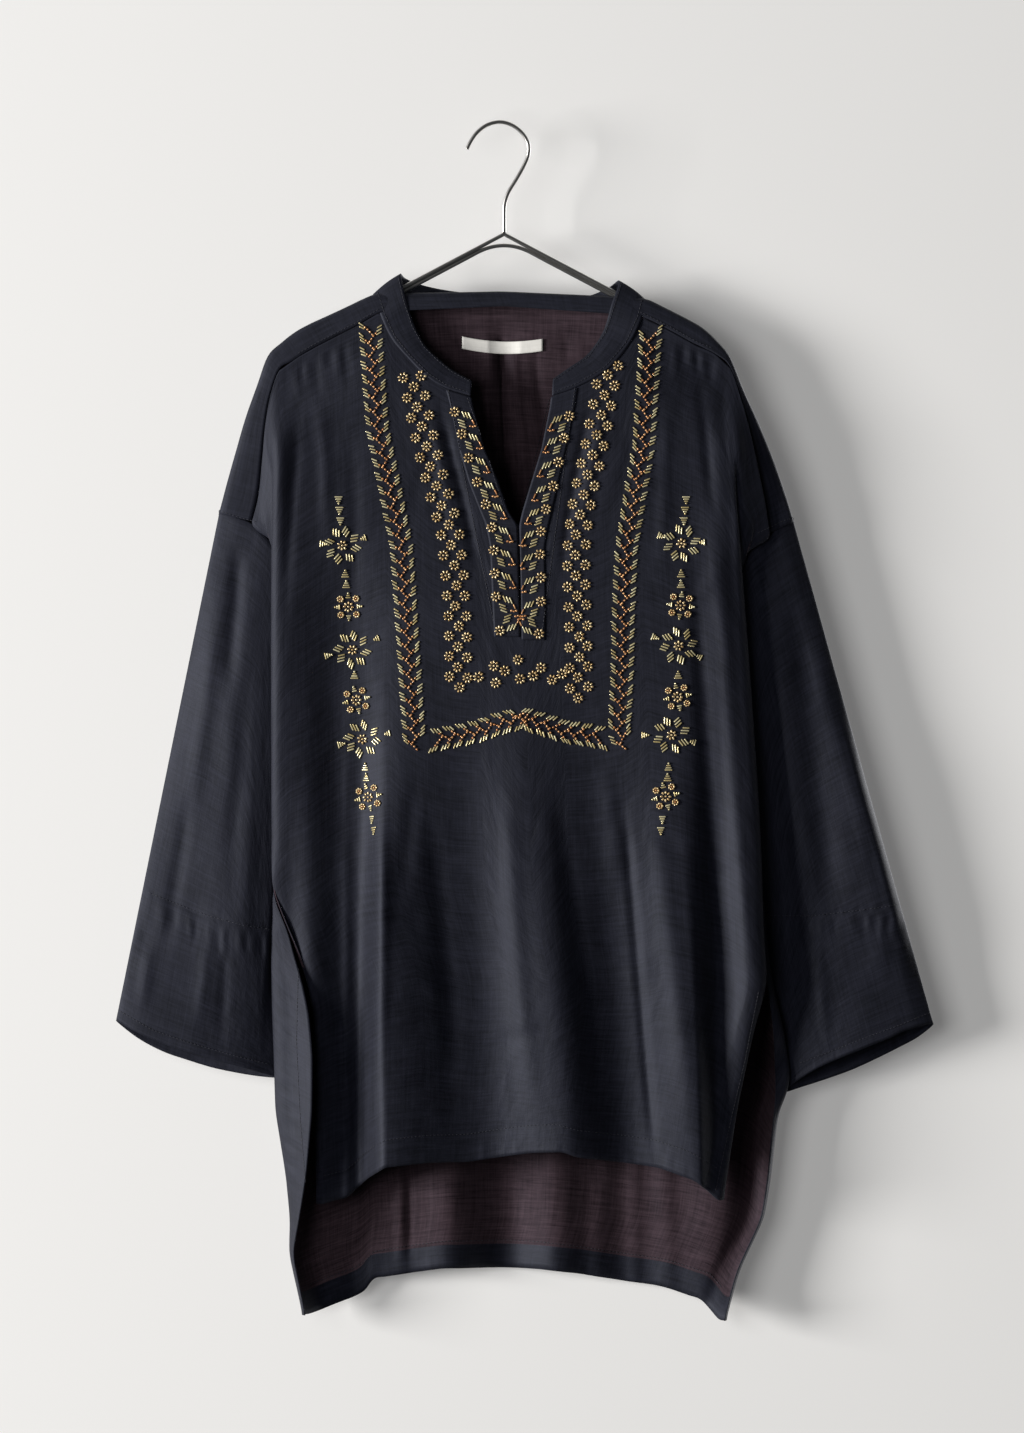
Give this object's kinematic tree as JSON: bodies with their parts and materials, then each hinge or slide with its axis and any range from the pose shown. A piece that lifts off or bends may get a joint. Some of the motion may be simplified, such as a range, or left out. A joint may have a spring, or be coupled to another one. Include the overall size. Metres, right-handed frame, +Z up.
{
  "type": "embroidered top on a wire hanger",
  "caption": "Loose hip-length top with a stand collar, slit neck, wide sleeves and side slits, hung flat on a wire hanger.",
  "frame": {"origin": "inside top of the hanger's hook, where it hangs on a rail", "axes": "+Z up, -Y out of the front of the top, +X to the right of someone who looks at the front"},
  "size_m": [0.769, 0.0709, 1.1281],
  "materials": {
    "linen": "dark navy slub linen with a slight sheen",
    "label_tape": "plain off-white woven tape",
    "wire": "satin steel wire",
    "gold_bead": "pale gold glass bugle beads",
    "copper_bead": "copper-lined seed beads"
  },
  "bodies": {
    "root": {"front_panel": "linen", "back_panel": "linen", "sleeve_left": "linen", "sleeve_right": "linen", "collar_band": "linen", "placket_left": "linen", "placket_right": "linen", "neck_label": "label_tape", "hanger_hook": "wire", "hanger_upper_wire": "wire", "hanger_lower_wire": "wire"}
  },
  "joints": []
}
